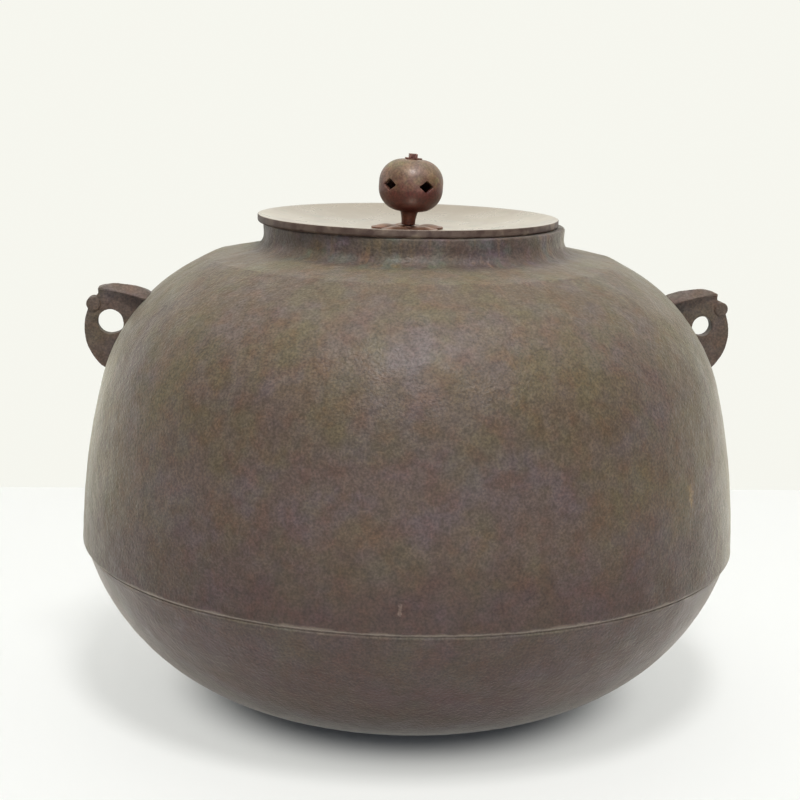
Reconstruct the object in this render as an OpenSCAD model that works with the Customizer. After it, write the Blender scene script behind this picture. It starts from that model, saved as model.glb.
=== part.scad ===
// Tea-ceremony kettle: cast-iron body with a let-in bottom, pierced lugs, scooped lid and pierced knob.
// Millimetres. +Z is up, the origin is the centre of the base, and the lugs stand on the X axis.

/* [Upper body] */
// Outer radius at the lower edge, which is the widest place
belly_r = 133; // [120:0.1:145]
// Height of the lower edge above the base
seam_h = 64; // [52:0.1:74]
// Radius of the long curve of the side wall
wall_curve_r = 285; // [240:1:400]
// Inward lean of the wall at the lower edge, in degrees
wall_lean = 0.7; // [0:0.1:3]
// Lean at which the wall turns over into the shoulder, in degrees
shoulder_lean = 14.1; // [10:0.1:18]
// Radius of the shoulder's curve
shoulder_curve_r = 71; // [64:0.5:78]
// Slope at which the shoulder runs straight up to its crease, in degrees
crease_slope = 28; // [24:0.5:34]
// Radius of the crease where the shoulder meets the plateau round the neck
crease_r = 82.2; // [79:0.1:86]
// Thickness of the cast wall
wall_t = 4.5; // [3.8:0.1:6]
// Rounding of the lower edge
lip_round = 1.8; // [1:0.1:2.4]

/* [Neck and mouth] */
// Outer radius of the neck
neck_r = 60.6; // [54:0.1:64]
// Thickness of the neck's wall
neck_t = 5; // [3.5:0.1:7]
// Height of the neck from the plateau to the mouth
neck_h = 9.3; // [8:0.1:18]
// Slope of the plateau, in degrees
plateau_slope = 11; // [4:0.5:16]
// Radius of the hollow fillet at the foot of the neck
neck_fillet_r = 5.5; // [4:0.1:8.5]
// Rounding of the mouth's outer edge
mouth_round = 0.9; // [0.3:0.1:1.5]

/* [Bottom pan] */
// Radius of the bowl's curve
bowl_curve_r = 87; // [78:0.1:98]
// Thickness of the pan
pan_t = 4; // [3.2:0.1:5.5]
// How far the pan stands back under the upper body's edge
seam_step = 1.6; // [1:0.1:2.6]
// Thickness of the upper body's wall outside the joint
rebate_t = 3.4; // [2.8:0.1:3.9]
// Height of the joint's overlap
joint_h = 14; // [8:0.5:24]
// Thickness of the lacquer in the joint
lacquer_t = 0.6; // [0.3:0.1:1.2]
// How far the lacquer stays behind the pan's edge
lacquer_setback = 0.3; // [0.1:0.1:0.8]

/* [Lugs] */
// Place of the lugs on the shoulder's curve, in degrees above level
lug_angle = 30.8; // [26:0.1:36]
// Distance of the eye's centre outside the shoulder
eye_out = 5.5; // [5.3:0.1:7]
// Diameter of the left lug's eye for the lifting ring
eye_d = 9.8; // [7:0.1:10.2]
// Diameter of the right lug's eye, which was pierced smaller
right_eye_d = 8; // [7:0.1:8.8]
// How far the right eye lies nearer the wall than the left one
right_eye_in = 0.9; // [0:0.1:1.2]
// Thickness of the lug's plate
lug_t = 6.2; // [4.5:0.1:6.5]
// Radius of the lug's rounded belly
lug_belly_r = 20.2; // [18.5:0.1:22]
// Reach of the belly outside the eye's centre
belly_reach = 10.4; // [9.5:0.1:12]
// Depth of the belly's centre below the eye's centre
belly_drop = 2.6; // [1.5:0.1:3.5]
// Radius of the lug's arched top
lug_arch_r = 23; // [19:0.1:25]
// Height of the arched top above the eye's centre
arch_up = 15.4; // [14:0.1:16]
// Distance of the arched top inside the eye's centre
arch_in = 3.9; // [3:0.1:6]
// Radius of the scroll at the lug's outer corner
scroll_r = 2.9; // [2.4:0.1:3.6]
// How far the scroll's centre lies inside the belly's edge
scroll_sink = 1.1; // [0.7:0.1:1.6]
// Place of the scroll on the belly's edge, in degrees above level
scroll_angle = 31; // [28:0.5:34]
// How far the scroll stands out of the plate on each side
scroll_proud = 0.6; // [0.2:0.1:1.5]
// Height of the brow's ridge above the eye's centre
ridge_up = 15.8; // [15:0.1:16.5]
// Rise of the ridge from the wall outward, in degrees
ridge_rise = 7; // [3:0.5:10]
// Slope of the brow on both sides of its ridge, in degrees
brow_pitch = 30; // [15:1:38]
// Radius of the brow's arched underside
brow_under_r = 46; // [36:1:60]
// Height of the underside's top above the eye's centre
brow_under_up = 12.4; // [11.5:0.1:13]
// How far outside the eye's centre the underside's top lies
brow_under_out = 3.6; // [2:0.1:5]
// Reach of the brow's tip outside the eye's centre
brow_reach = 4.9; // [4:0.1:5.4]
// Height of the notch under the brow's tip above the eye's centre
notch_up = 10; // [9:0.1:10.5]
// Width of the brow at the wall
brow_root_w = 15; // [12:0.1:17]
// Width of the brow at its tip
brow_tip_w = 7; // [6.6:0.1:9]
// Thickness of the lug's key in the wall
key_t = 4; // [2:0.1:4.3]
// Height of the lug's key along the wall
key_h = 18; // [10:0.5:24]
// Depth of the lug's key in the wall
key_depth = 3; // [1.5:0.1:3.4]
// Length of the key's root inside the lug's plate
key_root = 0.4; // [0.2:0.1:0.5]

/* [Lid] */
// How far the lid's edge stays inside the neck's outer face
lid_setback = 0.2; // [0:0.1:2]
// Height of the lid's edge
lid_edge_h = 3.2; // [2.6:0.1:5]
// Width of the flat on top of the lid's edge
lid_rim_w = 1.2; // [0.8:0.1:3]
// Depth of the scoop below the edge
lid_dish = 5.4; // [3.5:0.1:8]
// Thickness of the lid's plate
lid_t = 2.6; // [1.8:0.1:4]
// Radius of the flat seat in the middle of the lid
seat_r = 16; // [15.5:0.5:22]
// Rounding of the lid's lower edge
lid_edge_round = 1.2; // [0.4:0.1:1.6]
// Height of the locating ring under the lid
lid_ring_h = 6; // [3:0.5:12]
// Thickness of the locating ring
lid_ring_t = 2.2; // [1.5:0.1:4]
// Slack of the locating ring in the mouth, all round
lid_play = 3.2; // [3:0.1:4]
// How far the lid lies to the left in that slack
lid_shift = 2.5; // [0:0.1:2.6]

/* [Knob] */
// Lean of the knob and its pin to the right, in degrees
knob_lean = 2.9; // [0:0.1:4]
// Radius of the fruit
knob_r = 12.9; // [11:0.1:15]
// Height of the fruit
knob_h = 20.8; // [19:0.1:25]
// Rounding of the fruit's shoulders
knob_round = 9.2; // [8:0.1:9.4]
// Thickness of the fruit's wall
knob_wall = 1.8; // [1.2:0.1:2.6]
// Height of the neck under the fruit
knob_neck_h = 5.4; // [4:0.1:8]
// Diameter of the neck at its foot
knob_foot_d = 5.5; // [5:0.1:6.2]
// Radius of the neck where it flares into the fruit
knob_flare_r = 3.6; // [3.3:0.1:4.2]
// Number of diamond holes
hole_count = 5; // [3:1:6]
// Width of a diamond hole
hole_w = 6.6; // [4:0.1:7.5]
// Height of a diamond hole
hole_h = 5; // [3:0.1:7]
// How far the holes lie above the fruit's middle
hole_rise = 0.4; // [0:0.1:1]
// Turn of the first hole from the front, in degrees
hole_turn = 24; // [0:1:71]

/* [Knob seat and pin] */
// Number of petals
petal_count = 5; // [5:1:7]
// Radius of the seat at the petals' tips
petal_tip_r = 15; // [14:0.1:15.4]
// Radius of one petal
petal_r = 6; // [5.4:0.1:6.8]
// Thickness of the seat's plate
petal_t = 0.7; // [0.6:0.1:1]
// Height of a petal's dome above the plate
petal_dome = 1.1; // [0.8:0.1:2]
// Flat edge round a petal's dome
petal_edge = 1.1; // [1:0.1:1.5]
// Turn of the petals from the front, in degrees
petal_turn = 0; // [-36:1:36]
// Height of the seat's centre
boss_h = 1.5; // [1:0.1:2.5]
// Radius of the seat's centre
boss_r = 4.1; // [3.6:0.1:4.6]
// Width of the groove round the seat's centre
boss_groove = 0.5; // [0.3:0.1:1]
// Diameter of the pin
pin_d = 3; // [2:0.1:3.6]
// Width of the square nub on top
nub_w = 3.4; // [3:0.1:4]
// Height of the square nub
nub_h = 1.6; // [0.8:0.1:3]
// Number of leaves on the calyx
leaf_count = 5; // [4:1:6]
// Radius of the calyx at the leaves' tips
leaf_tip_r = 3.8; // [3.2:0.1:4.3]
// Thickness of the calyx
leaf_t = 0.6; // [0.4:0.1:1]
// Radius of the washer under the lid
under_r = 6; // [4:0.1:9]
// Thickness of the washer under the lid
under_t = 1; // [0.6:0.1:2]
// Radius of the pin's peened end
peen_r = 2.7; // [2.4:0.1:3.5]
// Height of the pin's peened end
peen_h = 1.3; // [0.8:0.1:2]
// Running clearance of the pin, all round
pin_gap = 0.08; // [0.03:0.01:0.1]
// End play of the knob
knob_play = 0.2; // [0.1:0.05:0.4]

/* [Sound plates] */
// Length of a sound plate
plate_l = 18; // [12:0.5:22]
// Width of a plate
plate_w = 11; // [8:0.5:14]
// Thickness of a plate
plate_t = 2; // [1:0.1:4]
// Thickness of the lacquer under a plate
pad_t = 0.8; // [0.4:0.1:1.5]
// How far the lacquer spreads past a plate
pad_edge = 1; // [0.3:0.1:1.5]
// Room between the lacquer and the end of the flat floor
floor_room = 4; // [3:0.5:10]

/* [Hidden] */
$fn = 256;
// Overshoot of a cut past the face that it leaves by
cut = 1;
plate_count = 5;
// A radius outside the whole kettle
far_r = belly_r + cut;

// Side wall and shoulder: two arcs, one inside the other, that touch where the wall leans shoulder_lean
wall_c = [belly_r - wall_curve_r * cos(wall_lean), seam_h - wall_curve_r * sin(wall_lean)];
shoulder_c = wall_c + (wall_curve_r - shoulder_curve_r) * [cos(shoulder_lean), sin(shoulder_lean)];
crown_z = shoulder_c[1] + shoulder_curve_r;
// Where the shoulder's curve ends and its straight rise to the crease begins
function rise(inset) = shoulder_c + (shoulder_curve_r - inset) * [sin(crease_slope), cos(crease_slope)];
crease_z = rise(0)[1] + (rise(0)[0] - crease_r) * tan(crease_slope);
function turn_z(inset) = shoulder_c[1] + (shoulder_curve_r - inset) * sin(shoulder_lean);
function plateau_z(r) = crease_z + (crease_r - r) * tan(plateau_slope);

// Rounded lower edge: a circle that touches the wall's arc from inside and the edge's flat
lip_z = seam_h + lip_round;
lip_c = [wall_c[0] + sqrt(pow(wall_curve_r - lip_round, 2) - pow(lip_z - wall_c[1], 2)), lip_z];
lip_end_z = wall_c[1] + (lip_z - wall_c[1]) * wall_curve_r / (wall_curve_r - lip_round);

// Neck, mouth and the fillet at the neck's foot
mouth_r = neck_r - neck_t;
mouth_z = plateau_z(neck_r) + neck_h;
fillet_c = [
    neck_r + neck_fillet_r,
    plateau_z(neck_r + neck_fillet_r) + neck_fillet_r / cos(plateau_slope)
];
fillet_end = fillet_c - neck_fillet_r * [sin(plateau_slope), cos(plateau_slope)];

// Joint of the pan and the upper body
ledge_z = seam_h - lacquer_t;
joint_r = belly_r - rebate_t;
joint_top = seam_h + joint_h;
collar_r = joint_r - lacquer_t;
pan_r = belly_r - seam_step;
base_r = pan_r - sqrt(pow(bowl_curve_r, 2) - pow(bowl_curve_r - ledge_z, 2));
bowl_c = [base_r, bowl_curve_r];
collar_in_r = base_r + sqrt(pow(bowl_curve_r - pan_t, 2) - pow(bowl_curve_r - ledge_z, 2));

// Lug outline, from the centre of its eye
eye_c = shoulder_c + (shoulder_curve_r + eye_out) * [cos(lug_angle), sin(lug_angle)];
lug_belly_c = eye_c + [belly_reach - lug_belly_r, -belly_drop];
lug_arch_c = eye_c + [-arch_in, arch_up - lug_arch_r];
scroll_c = lug_belly_c + (lug_belly_r - scroll_sink) * [cos(scroll_angle), sin(scroll_angle)];
ridge_c = eye_c + [0, ridge_up];
brow_under_c = eye_c + [brow_under_out, brow_under_up - brow_under_r];
// A length past the lug on every side
lug_span = 2 * lug_belly_r;

// Lid, on the lid's own axis
lid_r = neck_r - lid_setback;
lid_top = mouth_z + lid_edge_h;
seat_z = lid_top - lid_dish;
dish_r = lid_r - lid_rim_w;
dish_run = dish_r - seat_r;
dish_curve_r = (pow(dish_run, 2) + pow(lid_dish, 2)) / (2 * lid_dish);
dish_c = [seat_r, seat_z + dish_curve_r];
ring_r = mouth_r - lid_play;

// Knob stack, from the lid's seat up and down
boss_z = seat_z + boss_h;
knob_foot_z = boss_z + knob_play;
fruit_z = knob_foot_z + knob_neck_h;
fruit_top = fruit_z + knob_h;
fruit_mid = fruit_z + knob_h / 2;
fruit_low = fruit_z + knob_round;
fruit_high = fruit_top - knob_round;
nub_z = fruit_top + leaf_t;
under_z = seat_z - (lid_t + knob_play) / cos(knob_lean) - under_r * tan(knob_lean) - under_t;
peen_z = under_z - peen_h;
pin_r = pin_d / 2;
pin_hole_r = pin_r + pin_gap;
foot_r = knob_foot_d / 2;
flare = knob_flare_r - foot_r;
flare_curve_r = (pow(knob_neck_h, 2) + pow(flare, 2)) / (2 * flare);

// Petals, and the sphere that a petal's dome is cut from
petal_c_r = petal_tip_r - petal_r;
dome_r = petal_r - petal_edge;
dome_curve_r = (pow(dome_r, 2) + pow(petal_dome, 2)) / (2 * petal_dome);

// Sound plates lie round the flat floor, with their long sides along the ring
pad_l = plate_l + 2 * pad_edge;
pad_w = plate_w + 2 * pad_edge;
plate_ring_r = sqrt(pow(base_r - floor_room, 2) - pow(pad_l / 2, 2)) - pad_w / 2;

iron = [0.36, 0.31, 0.28];
pan_iron = [0.40, 0.36, 0.33];
lug_iron = [0.30, 0.24, 0.21];
lacquer = [0.16, 0.13, 0.12];
bronze = [0.62, 0.57, 0.49];
copper_brown = [0.45, 0.27, 0.19];
fruit_brown = [0.40, 0.26, 0.23];

// A band of the half plane, from the axis out and from z0 up to z1
module band(r, z0, z1) {
    translate([0, z0]) square([r, z1 - z0]);
}

// A rectangle of the half plane
module box2(r0, r1, z0, z1) {
    translate([r0, z0]) square([r1 - r0, z1 - z0]);
}

// Wall and shoulder as a filled half section, from z0 up
module dome_2d(inset, z0) {
    start = rise(inset);
    intersection() {
        translate(wall_c) circle(wall_curve_r - inset);
        band(far_r, z0, turn_z(inset));
    }
    intersection() {
        translate(shoulder_c) circle(shoulder_curve_r - inset);
        box2(start[0], far_r, turn_z(inset) - cut, crown_z);
    }
    polygon([
        [0, z0],
        [start[0] + cut, z0],
        [start[0] + cut, turn_z(inset)],
        start,
        [0, start[1] + start[0] * tan(crease_slope)]
    ]);
    band(fillet_end[0], z0, mouth_z + cut);
}

// Solid that the dome's outer face encloses, moved in by the inset
module dome_solid(inset) {
    rotate_extrude() dome_2d(inset, seam_h);
}

// What lies under the plateau and in the neck, with the hollow fillet at the neck's foot
module roof_2d() {
    edge_r = neck_r - mouth_round;
    edge_z = mouth_z - mouth_round;
    difference() {
        polygon([
            [0, 0],
            [far_r, 0],
            [far_r, plateau_z(far_r)],
            fillet_end,
            fillet_c,
            [neck_r, fillet_c[1]],
            [neck_r, edge_z],
            [edge_r, edge_z],
            [edge_r, mouth_z],
            [0, mouth_z]
        ]);
        translate(fillet_c) circle(neck_fillet_r);
    }
    translate([edge_r, edge_z]) circle(mouth_round);
}

// The same on the inside: the plateau's line is moved square to itself, and the mouth is straight
module inner_roof_2d() {
    drop = wall_t / cos(plateau_slope);
    polygon([
        [0, 0],
        [far_r, 0],
        [far_r, plateau_z(far_r) - drop],
        [mouth_r, plateau_z(mouth_r) - drop],
        [mouth_r, mouth_z + cut],
        [0, mouth_z + cut]
    ]);
}

// Outer half section of the upper body, filled to the axis
module outer_2d() {
    intersection() {
        dome_2d(0, lip_end_z);
        roof_2d();
    }
    band(lip_c[0], seam_h, lip_end_z + cut);
    intersection() {
        translate(lip_c) circle(lip_round);
        band(far_r, seam_h, lip_end_z);
    }
}

// Half section of the hollow, open at the mouth and at the lower edge
module hollow_2d() {
    intersection() {
        dome_2d(wall_t, seam_h - cut);
        inner_roof_2d();
    }
    band(joint_r, seam_h - cut, joint_top);
}

// Key of a lug: a block square to the shoulder, from inside the lug's plate down into the wall
module key() {
    difference() {
        translate([shoulder_c[0], 0, shoulder_c[1]])
            rotate([0, -lug_angle, 0])
                translate([shoulder_curve_r - 2 * key_depth, -key_t / 2, -key_h / 2])
                    cube([2 * key_depth + key_root, key_t, key_h]);
        dome_solid(key_depth);
    }
}

module upper_body() {
    color(iron) difference() {
        rotate_extrude() difference() {
            outer_2d();
            hollow_2d();
        }
        key();
        mirror([1, 0, 0]) key();
    }
}

// Bowl as a filled half section
module bowl_2d(inset, top) {
    intersection() {
        translate(bowl_c) circle(bowl_curve_r - inset);
        band(far_r, inset, top);
    }
    band(base_r, inset, top);
}

module bottom_pan() {
    color(pan_iron) rotate_extrude() {
        difference() {
            bowl_2d(0, ledge_z);
            bowl_2d(pan_t, ledge_z + cut);
        }
        box2(collar_in_r, collar_r, ledge_z - lacquer_t, joint_top - lacquer_t);
    }
}

module seam_lacquer() {
    color(lacquer) rotate_extrude() {
        box2(collar_r, pan_r - lacquer_setback, ledge_z, seam_h);
        box2(collar_r, joint_r, ledge_z, joint_top);
        box2(collar_in_r, joint_r, joint_top - lacquer_t, joint_top);
    }
}

// Side view of a lug: arched top, round belly and the brow's square tip
module lug_2d() {
    intersection() {
        translate(lug_arch_c) circle(lug_arch_r);
        union() {
            translate(lug_belly_c) circle(lug_belly_r);
            box2(eye_c[0], eye_c[0] + brow_reach, eye_c[1] + notch_up, ridge_c[1]);
        }
    }
}

// Side view of the brow: what lies over its arched underside
module brow_2d() {
    difference() {
        lug_2d();
        translate(brow_under_c) circle(brow_under_r);
    }
}

// Plan of the brow: broad at the wall and narrow at its tip
module brow_plan() {
    root_x = eye_c[0] - lug_belly_r;
    tip_x = eye_c[0] + brow_reach;
    polygon([
        [root_x, -brow_root_w / 2],
        [tip_x + cut, -brow_tip_w / 2],
        [tip_x + cut, brow_tip_w / 2],
        [root_x, brow_root_w / 2]
    ]);
}

module upright(t) {
    rotate([90, 0, 0]) linear_extrude(t, center = true) children();
}

// What lies under the two slopes that fall from the brow's ridge
module gable() {
    fall = lug_span * tan(brow_pitch);
    translate([ridge_c[0], 0, ridge_c[1]])
        rotate([0, -ridge_rise, 0])
            rotate([90, 0, 90])
                linear_extrude(2 * lug_span, center = true)
                    polygon([
                        [0, 0],
                        [lug_span, -fall],
                        [lug_span, -fall - lug_span],
                        [-lug_span, -fall - lug_span],
                        [-lug_span, -fall]
                    ]);
}

// A lug with its eye moved in toward the wall
module lug(hole_d, hole_in) {
    color(lug_iron) difference() {
        union() {
            difference() {
                union() {
                    intersection() {
                        union() {
                            upright(lug_t) lug_2d();
                            intersection() {
                                upright(brow_root_w) brow_2d();
                                linear_extrude(crown_z) brow_plan();
                            }
                        }
                        gable();
                    }
                    upright(lug_t + 2 * scroll_proud) translate(scroll_c) circle(scroll_r);
                }
                dome_solid(0);
            }
            key();
        }
        upright(brow_root_w) translate(eye_c - [hole_in, 0]) circle(d = hole_d);
    }
}

module right_lug() {
    lug(right_eye_d, right_eye_in);
}

module left_lug() {
    mirror([1, 0, 0]) lug(eye_d, 0);
}

// The lid and the knob stand on the lid's axis
module on_lid() {
    translate([-lid_shift, 0, 0]) children();
}

// The pin and what turns on it lean from the middle of the lid's seat
module on_pin() {
    on_lid() translate([0, 0, seat_z]) rotate([0, knob_lean, 0]) translate([0, 0, -seat_z]) children();
}

// Hole for the pin, from z0 up to z1
module pin_hole(z0, z1) {
    on_pin() translate([0, 0, z0]) cylinder(h = z1 - z0, r = pin_hole_r);
}

// Half section of the lid's outside, with its rounded lower edge
module lid_edge_2d() {
    edge_r = lid_r - lid_edge_round;
    edge_z = mouth_z + lid_edge_round;
    box2(ring_r - lid_ring_t, edge_r, mouth_z, lid_top);
    box2(edge_r, lid_r, edge_z, lid_top);
    intersection() {
        translate([edge_r, edge_z]) circle(lid_edge_round);
        box2(edge_r, lid_r, mouth_z, edge_z);
    }
}

module lid() {
    color(bronze) difference() {
        on_lid() rotate_extrude() difference() {
            union() {
                lid_edge_2d();
                intersection() {
                    translate(dish_c) circle(dish_curve_r + lid_t);
                    box2(seat_r, ring_r, seat_z - lid_t, lid_top);
                }
                band(seat_r, seat_z - lid_t, seat_z);
                box2(ring_r - lid_ring_t, ring_r, mouth_z - lid_ring_h, mouth_z + lid_edge_round);
            }
            intersection() {
                translate(dish_c) circle(dish_curve_r);
                box2(seat_r, dish_r, seat_z, lid_top + cut);
            }
            band(seat_r, seat_z, lid_top + cut);
        }
        pin_hole(seat_z - lid_t - cut, lid_top);
    }
}

// One petal: a round plate with a dome on it
module petal() {
    dome_top = petal_t + petal_dome;
    rotate_extrude() {
        band(petal_r, 0, petal_t);
        intersection() {
            translate([0, dome_top - dome_curve_r]) circle(dome_curve_r);
            band(petal_r, petal_t / 2, dome_top);
            band(dome_r, 0, dome_top);
        }
    }
}

module flower_washer() {
    step = 360 / petal_count;
    groove_r = boss_r + boss_groove;
    color(copper_brown) difference() {
        union() {
            on_lid() translate([0, 0, seat_z]) {
                difference() {
                    for (i = [0 : petal_count - 1])
                        rotate(petal_turn - 90 + (i + 0.5) * step) translate([petal_c_r, 0, 0]) petal();
                    translate([0, 0, petal_t]) cylinder(h = petal_dome + cut, r = groove_r);
                }
                cylinder(h = petal_t, r = groove_r);
            }
            on_pin()
                translate([0, 0, seat_z + petal_t / 2])
                    cylinder(h = boss_h - petal_t / 2, r = boss_r);
        }
        pin_hole(seat_z - cut, boss_z + cut);
    }
}

// Half section of the fruit: two rounded shoulders with a straight side between them
module fruit_2d(inset) {
    core_r = knob_r - knob_round;
    for (z = [fruit_low, fruit_high]) intersection() {
        translate([core_r, z]) circle(knob_round - inset);
        band(knob_r, fruit_z, fruit_top);
    }
    band(knob_r - inset, fruit_low, fruit_high);
    band(core_r, fruit_z + inset, fruit_top - inset);
}

// Half section of the neck, which flares from its foot into the fruit
module knob_neck_2d() {
    difference() {
        band(knob_flare_r, knob_foot_z, fruit_z + knob_wall);
        translate([foot_r + flare_curve_r, knob_foot_z]) circle(flare_curve_r);
    }
}

module diamond_hole() {
    rotate([90, 0, 0]) linear_extrude(knob_r + cut) polygon([
        [hole_w / 2, 0],
        [0, hole_h / 2],
        [-hole_w / 2, 0],
        [0, -hole_h / 2]
    ]);
}

module knob_shell() {
    color(fruit_brown) on_pin() difference() {
        rotate_extrude() difference() {
            union() {
                fruit_2d(0);
                knob_neck_2d();
            }
            fruit_2d(knob_wall);
            band(pin_hole_r, knob_foot_z - cut, fruit_top + cut);
        }
        for (i = [0 : hole_count - 1])
            translate([0, 0, fruit_mid + hole_rise])
                rotate(hole_turn + i * 360 / hole_count)
                    diamond_hole();
    }
}

module calyx_washer() {
    color(copper_brown) on_pin() translate([0, 0, fruit_top]) linear_extrude(leaf_t) difference() {
        union() {
            circle(r = nub_w / sqrt(2) + leaf_t / 2);
            for (i = [0 : leaf_count - 1]) rotate(i * 360 / leaf_count) polygon([
                [0, -nub_w / 2],
                [leaf_tip_r, 0],
                [0, nub_w / 2]
            ]);
        }
        circle(pin_hole_r);
    }
}

module knob_pin() {
    color(copper_brown) on_pin() {
        translate([0, 0, peen_z]) cylinder(h = nub_z + nub_h / 2 - peen_z, r = pin_r);
        translate([-nub_w / 2, -nub_w / 2, nub_z]) cube([nub_w, nub_w, nub_h]);
        translate([0, 0, peen_z]) cylinder(h = peen_h, r = peen_r);
    }
}

module under_washer() {
    color(copper_brown) on_pin() translate([0, 0, under_z]) linear_extrude(under_t) difference() {
        circle(under_r);
        circle(pin_hole_r);
    }
}

// Place of one sound plate on the floor
module on_floor(i, lift) {
    rotate((i - 1) * 360 / plate_count)
        translate([plate_ring_r, 0, pan_t + lift])
            children();
}

module flat_block(w, l, t) {
    translate([-w / 2, -l / 2, 0]) cube([w, l, t]);
}

module sound_plate(i) {
    color(pan_iron) on_floor(i, pad_t) flat_block(plate_w, plate_l, plate_t);
}

module lacquer_pad(i) {
    color(lacquer) on_floor(i, 0) flat_block(pad_w, pad_l, pad_t);
}

upper_body();
bottom_pan();
seam_lacquer();
left_lug();
right_lug();
lid();
flower_washer();
knob_shell();
calyx_washer();
knob_pin();
under_washer();
sound_plate(1);  // sound_plate_1
sound_plate(2);  // sound_plate_2
sound_plate(3);  // sound_plate_3
sound_plate(4);  // sound_plate_4
sound_plate(5);  // sound_plate_5
lacquer_pad(1);  // lacquer_pad_1
lacquer_pad(2);  // lacquer_pad_2
lacquer_pad(3);  // lacquer_pad_3
lacquer_pad(4);  // lacquer_pad_4
lacquer_pad(5);  // lacquer_pad_5
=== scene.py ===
# A tea-ceremony kettle of cast iron with a bronze lid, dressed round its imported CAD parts.
# The sections follow the order in which the kettle is put together. The kettle's sizes are in millimetres,
# and those of the floor, the light and the camera in metres.
import math

import bpy
from mathutils import Matrix, Vector


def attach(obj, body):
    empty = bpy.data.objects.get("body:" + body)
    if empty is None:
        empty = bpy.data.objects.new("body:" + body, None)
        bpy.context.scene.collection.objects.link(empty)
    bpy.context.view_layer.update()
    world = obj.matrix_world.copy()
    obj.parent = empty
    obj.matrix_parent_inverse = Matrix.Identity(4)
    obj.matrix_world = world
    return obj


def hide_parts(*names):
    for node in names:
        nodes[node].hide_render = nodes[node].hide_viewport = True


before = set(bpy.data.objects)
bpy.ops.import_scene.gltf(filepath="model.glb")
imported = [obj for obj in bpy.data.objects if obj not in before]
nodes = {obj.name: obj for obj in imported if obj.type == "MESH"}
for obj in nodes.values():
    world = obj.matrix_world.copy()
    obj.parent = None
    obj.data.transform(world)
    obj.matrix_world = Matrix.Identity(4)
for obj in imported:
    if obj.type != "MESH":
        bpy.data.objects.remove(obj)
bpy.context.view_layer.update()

# Upper body: the shell above the seam, cast in iron in a clay mould turned with a board, so its skin is
# sandy and a little uneven. A soft crease parts the shoulder from the plateau round the neck, and a slot
# in each side takes the key of a lug.
MM = 0.001
BELLY_R = 133.0
SEAM_Z = 64.0
WALL_T = 4.5
LIP_ROUND = 1.8
WALL_CURVE_R = 285.0
WALL_LEAN = 0.7
SHOULDER_CURVE_R = 71.0
SHOULDER_LEAN = 14.1
CREASE_R = 82.2
CREASE_SLOPE = 28.0
CREASE_SOFT = 2.0
PLATEAU_SLOPE = 11.0
NECK_R = 60.6
NECK_H = 9.3
NECK_FILLET_R = 5.5
NECK_T = 5.0
MOUTH_ROUND = 0.9
MOUTH_INNER_ROUND = 0.5
REBATE_T = 3.4
JOINT_H = 14.0
BODY_STEPS = 448


def on_slope(angle):
    """Direction of a line in the half section."""
    return Vector((math.cos(math.radians(angle)), math.sin(math.radians(angle))))


def lean_at(centre, radius, up):
    """Angle at which an arc in the half section reaches a height."""
    return math.degrees(math.asin((up - centre[1]) / radius))


def arc(centre, radius, start, end, parts):
    """Points of an arc in the half section, ends included."""
    turn = (end - start) / parts
    return [centre + radius * on_slope(start + i * turn) for i in range(parts + 1)]


def run(start, end, parts):
    """Points of a straight line in the half section, without its last one."""
    return [start + (end - start) * i / parts for i in range(parts)]


def soft_corner(corner, slope_in, slope_out, radius, parts):
    """An arc that rounds a corner between two falling slopes, met from below."""
    reach = radius * math.tan(math.radians(abs(slope_in - slope_out)) / 2)
    start = corner - reach * on_slope(180 - slope_in)
    centre = start + radius * on_slope(270 - slope_in)
    return arc(centre, radius, 90 - slope_in, 90 - slope_out, parts)


def turned(name, section, steps, axis_x=0.0):
    """Makes a piece from its half section: one vertex is drawn out along it and spun round an axis."""
    bpy.ops.object.select_all(action="DESELECT")
    bpy.ops.mesh.primitive_plane_add(size=MM)
    piece = bpy.context.object
    piece.name = piece.data.name = name
    bpy.ops.object.mode_set(mode="EDIT")
    bpy.ops.mesh.select_all(action="SELECT")
    bpy.ops.mesh.merge(type="CENTER")
    first = section[0]
    bpy.ops.transform.translate(value=((first[0] + axis_x) * MM, 0, first[1] * MM))
    for here, there in zip(section, section[1:]):
        step = ((there[0] - here[0]) * MM, 0, (there[1] - here[1]) * MM)
        bpy.ops.mesh.extrude_region_move(TRANSFORM_OT_translate={"value": step})
    bpy.ops.mesh.select_all(action="SELECT")
    bpy.ops.mesh.spin(steps=steps, angle=2 * math.pi, center=(axis_x * MM, 0, 0), axis=(0, 0, 1))
    bpy.ops.mesh.select_all(action="SELECT")
    bpy.ops.mesh.remove_doubles(threshold=0.01 * MM)
    bpy.ops.mesh.normals_make_consistent(inside=False)
    bpy.ops.object.mode_set(mode="OBJECT")
    return piece


# The outer face: a long wall arc, a shoulder arc that touches it, a straight rise to the crease, the
# plateau, and a hollow fillet up to the neck.
wall_c = Vector((BELLY_R, SEAM_Z)) - WALL_CURVE_R * on_slope(WALL_LEAN)
shoulder_c = wall_c + (WALL_CURVE_R - SHOULDER_CURVE_R) * on_slope(SHOULDER_LEAN)
shoulder_top = 90 - CREASE_SLOPE
shoulder_end = shoulder_c + SHOULDER_CURVE_R * on_slope(shoulder_top)
lip_lean = lean_at(wall_c, WALL_CURVE_R - LIP_ROUND, SEAM_Z + LIP_ROUND)
lip_c = wall_c + (WALL_CURVE_R - LIP_ROUND) * on_slope(lip_lean)
crease_fall = math.tan(math.radians(CREASE_SLOPE))
plateau_fall = math.tan(math.radians(PLATEAU_SLOPE))
crease = Vector((CREASE_R, shoulder_end[1] + (shoulder_end[0] - CREASE_R) * crease_fall))


def plateau_z(radius):
    """Height of the plateau at a radius."""
    return crease[1] + (CREASE_R - radius) * plateau_fall


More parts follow.
